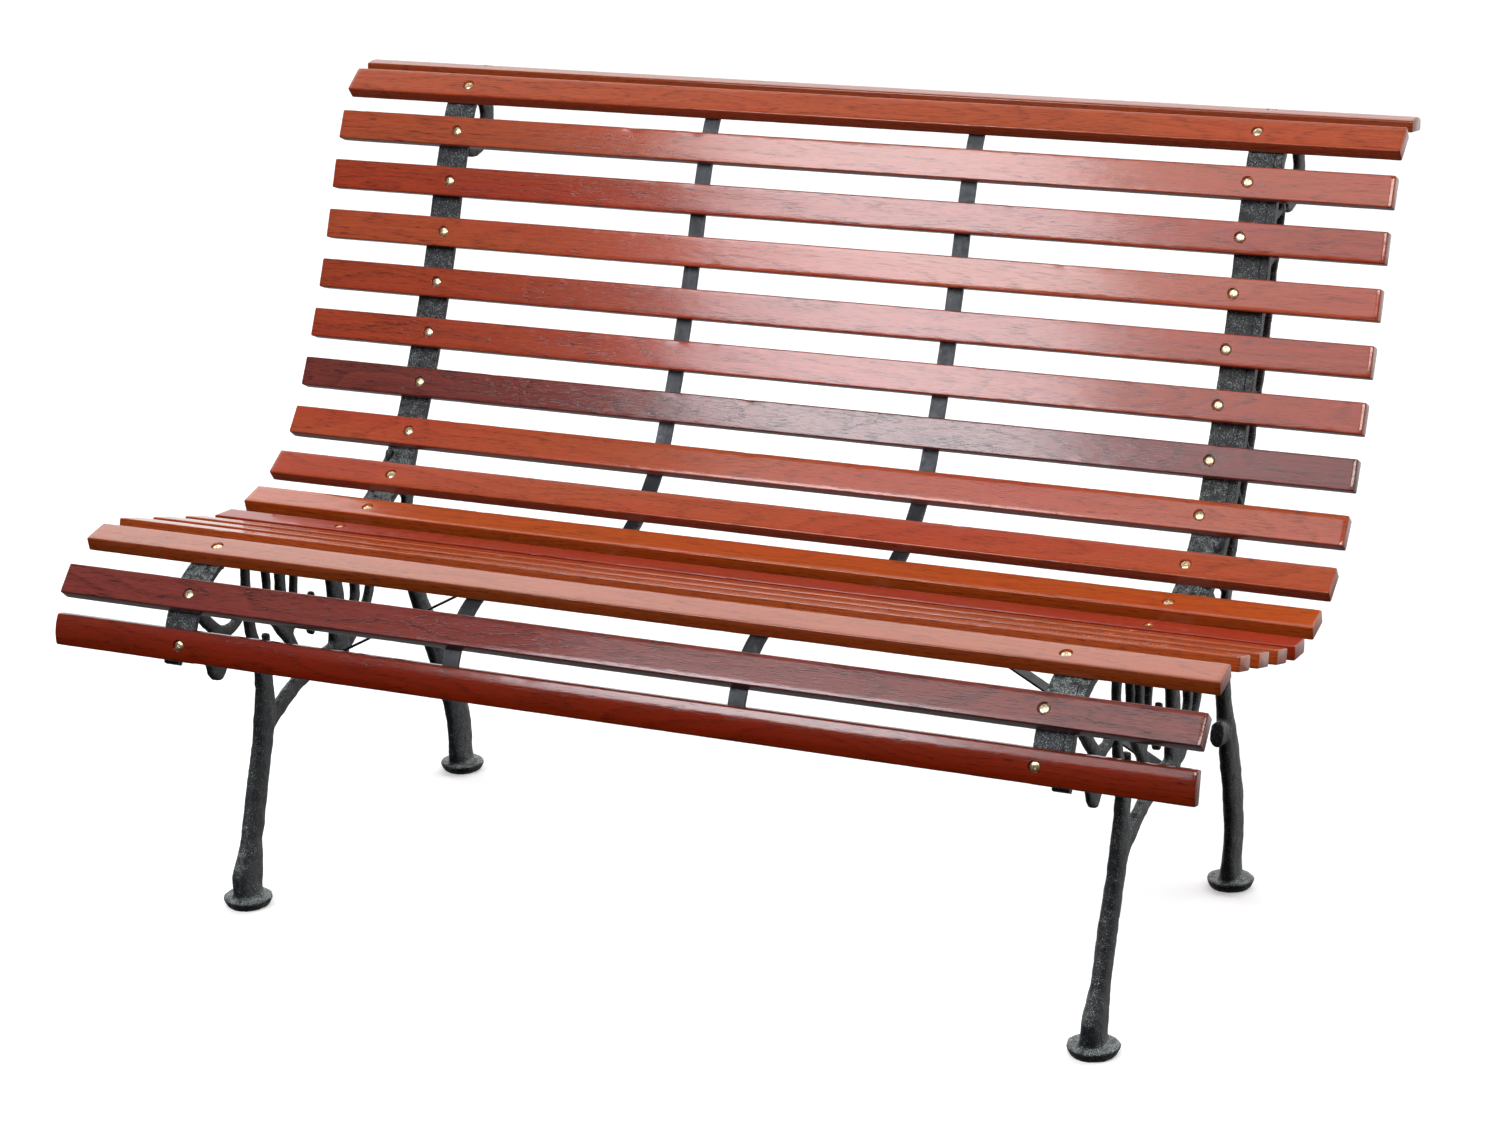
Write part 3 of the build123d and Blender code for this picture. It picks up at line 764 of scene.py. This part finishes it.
def lattice_stations():
    """Stations of the zigzag twigs behind the back, and of the rib that joins them."""
    rib = [(0.186, 0.490, 0.007)]
    bays = []
    for bay in range(LATTICE_BAYS):
        start = LATTICE_START + bay * LATTICE_BAY
        foot = station(start, FLANGE_BACK - 0.001)
        knot = station(start + LATTICE_BAY / 2, SLAT_THICK + LATTICE_DEPTH)
        head = station(start + LATTICE_BAY, FLANGE_BACK - 0.001)
        bays.append(((foot[0], foot[1], 0.0042), (knot[0], knot[1], 0.0036)))
        bays.append(((knot[0], knot[1], 0.0036), (head[0], head[1], 0.0042)))
        rib.append((knot[0], knot[1], 0.0052))
    rib.append((head[0], head[1], 0.0052))
    return bays, spline(rib, 5)


def cast_body():
    """Limbs, twigs, scroll and feet run together into one rough casting."""
    bm = bmesh.new()
    for index, (foot_x, upright_from, stations) in enumerate(LEGS):
        add_leg(bm, foot_x, upright_from, stations, index)
    for index, trunk in enumerate(TRUNKS):
        add_branch(bm, rounded(trunk), TRUNK_X, TRUNK_HALF, 10 + index, 0.75)
    stub = [tuple(value * MM for value in row) for row in STUB]
    add_branch(bm, spline(stub, 4), STUB_X, STUB_HALF, 15, 0.85)
    for index, twig in enumerate(TWIGS):
        add_branch(bm, rounded(twig), TWIG_X, TWIG_HALF, 20 + index)
    bays, rib = lattice_stations()
    for index, bay in enumerate(bays):
        add_branch(bm, spline(bay, 4), TWIG_X, LATTICE_HALF, 70 + index)
    add_branch(bm, rib, TWIG_X, TWIG_HALF, 90)
    add_branch(bm, scroll_stations(), TWIG_X, SCROLL_HALF, 91)
    for x, y, rim in FEET:
        add_disc(bm, x, y, rim)
    bmesh.ops.recalc_face_normals(bm, faces=bm.faces)
    bm = baked(
        bm,
        ("REMESH", {"mode": "VOXEL", "voxel_size": VOXEL, "adaptivity": 0.0}),
        ("SMOOTH", {"factor": 0.5, "iterations": 2}),
    )
    for vert in bm.verts:
        at = vert.co
        lump = noise.fractal(at * 60, 0.9, 2.1, 3) * 0.0007
        flatten = min(1.0, at.z / 0.004)
        vert.co = at + vert.normal * lump * flatten
        vert.co.z = max(0.0, vert.co.z)
    return bm


def make_frame(side, name, material):
    """One casting: the rough body, and the flange and web behind the slats."""
    bm = cast_body()
    end = LINE_LENGTH - STRIP_END_GAP
    strips = bmesh.new()
    add_strip(strips, FLANGE_X, FLANGE_DEPTHS, end, FLANGE_EASE)
    add_strip(strips, WEB_X, WEB_DEPTHS, end, WEB_EASE)
    for y, z in FRONT_CURL:
        add_rod(strips, y, z, CURL_RADIUS, CURL_X)
    bmesh.ops.recalc_face_normals(strips, faces=strips.faces)
    work = bpy.data.meshes.new("work")
    strips.to_mesh(work)
    strips.free()
    bm.from_mesh(work)
    bpy.data.meshes.remove(work)
    if side < 0:
        for vert in bm.verts:
            vert.co.x = -vert.co.x
        bmesh.ops.reverse_faces(bm, faces=bm.faces)
    new_piece(f"{name}_casting", bm, material, [name], None, 70)


# ---------------------------------------------------------------- fasteners
SHANK_RADIUS = 0.0025
THREAD_ROOT = 0.0022
SHANK_TIP_Z = -0.0275
THREAD_START_Z = -0.0268
THREAD_STEP = 0.0004
HEAD_RADIUS = 0.0062
HEAD_EDGE_Z = 0.0009
DOME_RADIUS = 0.0061
DOME_RISE = 0.0020
CROSS_LENGTH = 0.0070
CROSS_WIDTH = 0.0018


def screw_shape():
    """One domed screw without its cross recess, its head standing on z = 0."""
    bm = bmesh.new()
    profile = [(SHANK_RADIUS, SHANK_TIP_Z), (SHANK_RADIUS, THREAD_START_Z)]
    thread = [THREAD_START_Z + THREAD_STEP * k for k in range(1, 22)]
    profile += [(SHANK_RADIUS if k % 2 else THREAD_ROOT, z) for k, z in enumerate(thread)]
    profile += [(SHANK_RADIUS, -0.0180), (SHANK_RADIUS, 0.0), (0.0058, 0.0)]
    profile += [(HEAD_RADIUS, 0.0003), (HEAD_RADIUS, HEAD_EDGE_Z)]
    for step in range(1, 8):
        angle = math.radians(90 * step / 8)
        profile.append((DOME_RADIUS * math.cos(angle), HEAD_EDGE_Z + DOME_RISE * math.sin(angle)))
    bridge(bm, [level_ring(bm, 0, radius, z, 28) for radius, z in profile])
    bmesh.ops.recalc_face_normals(bm, faces=bm.faces)
    return bm


def cross_cutter():
    """Cutter for the cross recess, each arm tapering along its length towards the bottom."""
    bm = bmesh.new()
    for size in ((CROSS_LENGTH, CROSS_WIDTH), (CROSS_WIDTH, CROSS_LENGTH)):
        rings = []
        for z, share in ((0.0011, 0.45), (0.0034, 1.0)):
            long_x, long_y = size[0] / 2 * share, size[1] / 2 * share
            if size[0] < size[1]:
                long_x = size[0] / 2
            else:
                long_y = size[1] / 2
            corners = ((-long_x, -long_y), (long_x, -long_y), (long_x, long_y), (-long_x, long_y))
            rings.append([bm.verts.new((x, y, z)) for x, y in corners])
        bridge(bm, rings)
    bmesh.ops.recalc_face_normals(bm, faces=bm.faces)
    return as_object("cross_cutter", bm)


def make_screws(material):
    """All the slat screws as one piece, each turned by its own angle."""
    cutter = cross_cutter()
    settings = {"object": cutter, "operation": "DIFFERENCE", "solver": "EXACT", "use_self": True}
    one = baked(screw_shape(), ("BOOLEAN", settings))
    bpy.data.objects.remove(cutter)
    pattern = bpy.data.meshes.new("screw_pattern")
    one.to_mesh(pattern)
    one.free()
    rng = random.Random(7)
    bm = bmesh.new()
    for distance in slat_distances():
        for side in (-1, 1):
            seat = Matrix.Translation((side * SCREW_X, 0, -BORE_DEPTH))
            turn = Matrix.Rotation(rng.uniform(0, math.pi), 4, "Z")
            copy = pattern.copy()
            copy.transform(slat_matrix(distance) @ seat @ turn)
            bm.from_mesh(copy)
            bpy.data.meshes.remove(copy)
    new_piece("slat_screws_domed", bm, material, ["slat_screws"], None, 30)


def dress(names, material, bevel):
    """Give CAD nodes a material and a slight bevel."""
    for name in names:
        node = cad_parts[name]
        for slot in node.material_slots:
            slot.material = material
        if bevel:
            modifier = node.modifiers.new("arris", "BEVEL")
            modifier.width = bevel
            modifier.segments = 2
            modifier.limit_method = "ANGLE"
            modifier.angle_limit = math.radians(40)


# ------------------------------------------------------------- light, camera
# Light of the surroundings: strength in front of the bench and behind it, then factors
# that apply high up, straight overhead and below the horizon.
WORLD_FRONT = 0.06
WORLD_BACK = 1.0
WORLD_BOOM = 2.4
WORLD_TOP = 0.5
WORLD_GROUND = 0.2
BACKDROP_RADIUS = 28.0
FLOOR_REACH = 30.0
FLOOR_DROP = 0.0002
LAMP_AIM = (0.0, 0.1, 0.65)
CAMERA_PLACE = (1.7135, -3.5323, 1.6328)
CAMERA_LENS = 82.9
# Yaw, pitch and roll in degrees.
CAMERA_TURN = (25.75, -17.2, -1.30)


def area_light(name, at, target, size, power, colour, roll):
    """Rectangular softbox, turned by roll degrees about its own axis."""
    data = bpy.data.lights.new(name, "AREA")
    data.shape = "RECTANGLE"
    data.size, data.size_y = size
    data.energy = power
    data.color = colour
    lamp = bpy.data.objects.new(name, data)
    aim = (Vector(target) - Vector(at)).to_track_quat("-Z", "Y").to_matrix().to_4x4()
    lamp.matrix_world = Matrix.Translation(at) @ aim @ Matrix.Rotation(math.radians(roll), 4, "Z")
    bpy.context.scene.collection.objects.link(lamp)


def make_world():
    """Studio surroundings: a bright wall and boom behind the bench, dim in front of it."""
    world = bpy.data.worlds.new("studio")
    world.use_nodes = True
    tree = world.node_tree
    background = tree.nodes["Background"]
    coords = tree.nodes.new("ShaderNodeTexCoord")
    split = tree.nodes.new("ShaderNodeSeparateXYZ")
    tree.links.new(coords.outputs["Generated"], split.inputs[0])

    def span(output, low, high, to_low, to_high):
        node = tree.nodes.new("ShaderNodeMapRange")
        node.interpolation_type = "SMOOTHSTEP"
        for socket, given in zip(node.inputs[1:5], (low, high, to_low, to_high)):
            socket.default_value = given
        tree.links.new(split.outputs[output], node.inputs[0])
        return node.outputs[0]

    def join(operation, a, b):
        node = tree.nodes.new("ShaderNodeMath")
        node.operation = operation
        tree.links.new(a, node.inputs[0])
        tree.links.new(b, node.inputs[1])
        return node.outputs[0]

    wall = span(1, -0.15, 0.55, WORLD_FRONT, WORLD_BACK)
    boom = span(2, 0.25, 0.6, 1.0, WORLD_BOOM)
    overhead = span(2, 0.72, 0.95, 1.0, WORLD_TOP)
    ground = span(2, -0.45, -0.15, WORLD_GROUND, 1.0)
    upper = join("MULTIPLY", join("MULTIPLY", wall, boom), overhead)
    tree.links.new(join("MULTIPLY", upper, ground), background.inputs[1])
    background.inputs[0].default_value = (1, 1, 1, 1)
    bpy.context.scene.world = world


def make_backdrop():
    """Plain pale dome round the floor. It is seen, but neither lights the bench nor shades it."""
    bm = bmesh.new()
    bmesh.ops.create_uvsphere(bm, u_segments=64, v_segments=32, radius=BACKDROP_RADIUS)
    mesh = bpy.data.meshes.new("backdrop")
    bm.to_mesh(mesh)
    bm.free()
    n = Nodes("studio_backdrop")
    tone = n.noise(n.place((1, 1, 1)), 0.05, 1.0)
    colour = n.mix(tone, rgb(0.98, 0.98, 0.98), rgb(1.0, 1.0, 1.0))
    backdrop_material = n.finish(
        Base_Color=(0, 0, 0, 1),
        Specular_IOR_Level=0.0,
        Emission_Color=colour,
        Emission_Strength=1.0,
    )
    mesh.materials.append(backdrop_material)
    backdrop = bpy.data.objects.new("backdrop", mesh)
    bpy.context.scene.collection.objects.link(backdrop)
    for ray in ("diffuse", "glossy", "transmission", "shadow"):
        setattr(backdrop, f"visible_{ray}", False)


def make_stage():
    """Floor, backdrop, surroundings and lamps."""
    n = Nodes("studio_floor")
    dust = n.noise(n.place((1, 1, 1)), 3.0, 3.0)
    colour = n.mix(dust, rgb(0.95, 0.95, 0.95), rgb(0.97, 0.97, 0.97))
    floor_material = n.finish(
        Base_Color=colour,
        Roughness=0.9,
        Specular_IOR_Level=0.1,
        Emission_Color=(1, 1, 1, 1),
        Emission_Strength=0.32,
    )
    mesh = bpy.data.meshes.new("floor")
    signs = ((-1, -1), (1, -1), (1, 1), (-1, 1))
    corners = [(sx * FLOOR_REACH, sy * FLOOR_REACH, 0) for sx, sy in signs]
    mesh.from_pydata(corners, [], [(0, 1, 2, 3)])
    mesh.materials.append(floor_material)
    floor = bpy.data.objects.new("floor", mesh)
    floor.location.z = -FLOOR_DROP
    bpy.context.scene.collection.objects.link(floor)
    # The bench is lit and mirrored as over a dark studio ground; the floor only looks pale.
    floor.visible_glossy = False
    floor.visible_diffuse = False
    make_backdrop()
    make_world()
    area_light("key", (-2.10, -4.1, 3.65), LAMP_AIM, (1.15, 2.5), 85, (0.93, 0.95, 1.0), 18)
    area_light("fill", (-1.35, -4.1, 4.3), LAMP_AIM, (2.6, 3.8), 78, (0.95, 0.96, 1.0), 18)
    area_light("side", (0.95, -1.9, 2.3), (0.15, -0.1, 0.5), (0.8, 0.8), 26, (1.0, 0.96, 0.90), 0)


def make_camera():
    """The camera, from its place, its lens, and its yaw, pitch and roll."""
    data = bpy.data.cameras.new("camera")
    data.sensor_width = 36
    data.lens = CAMERA_LENS
    data.clip_end = 100
    camera = bpy.data.objects.new("camera", data)
    yaw, pitch, roll = (math.radians(degrees) for degrees in CAMERA_TURN)
    turn = Matrix.Rotation(yaw, 4, "Z") @ Matrix.Rotation(math.pi / 2 + pitch, 4, "X")
    turn = turn @ Matrix.Rotation(roll, 4, "Z")
    camera.matrix_world = Matrix.Translation(CAMERA_PLACE) @ turn
    bpy.context.scene.collection.objects.link(camera)
    bpy.context.scene.camera = camera


# -------------------------------------------------------------------- build
make_slats()
iron = iron_material()
make_frame(1, "right_side_frame", iron)
make_frame(-1, "left_side_frame", iron)
make_screws(metal_material("brass", (1.0, 0.88, 0.62), (0.72, 0.56, 0.30), 0.3))
bar_paint = steel_material("bar_paint", (0.022, 0.026, 0.032), (0.14, 0.15, 0.17), 0.42)
dress(("left_strap", "right_strap", "left_brace", "right_brace"), bar_paint, 0.0004)
zinc = metal_material("zinc", (0.55, 0.55, 0.57), (0.25, 0.24, 0.23), 0.35)
FIXINGS = (
    "slat_washers", "slat_nuts", "strap_screws",
    "brace_bolts", "brace_washers", "brace_nuts", "brace_screws",
)
dress(FIXINGS, zinc, 0.0)

make_stage()
make_camera()
scene = bpy.context.scene
scene.view_settings.view_transform = "Standard"
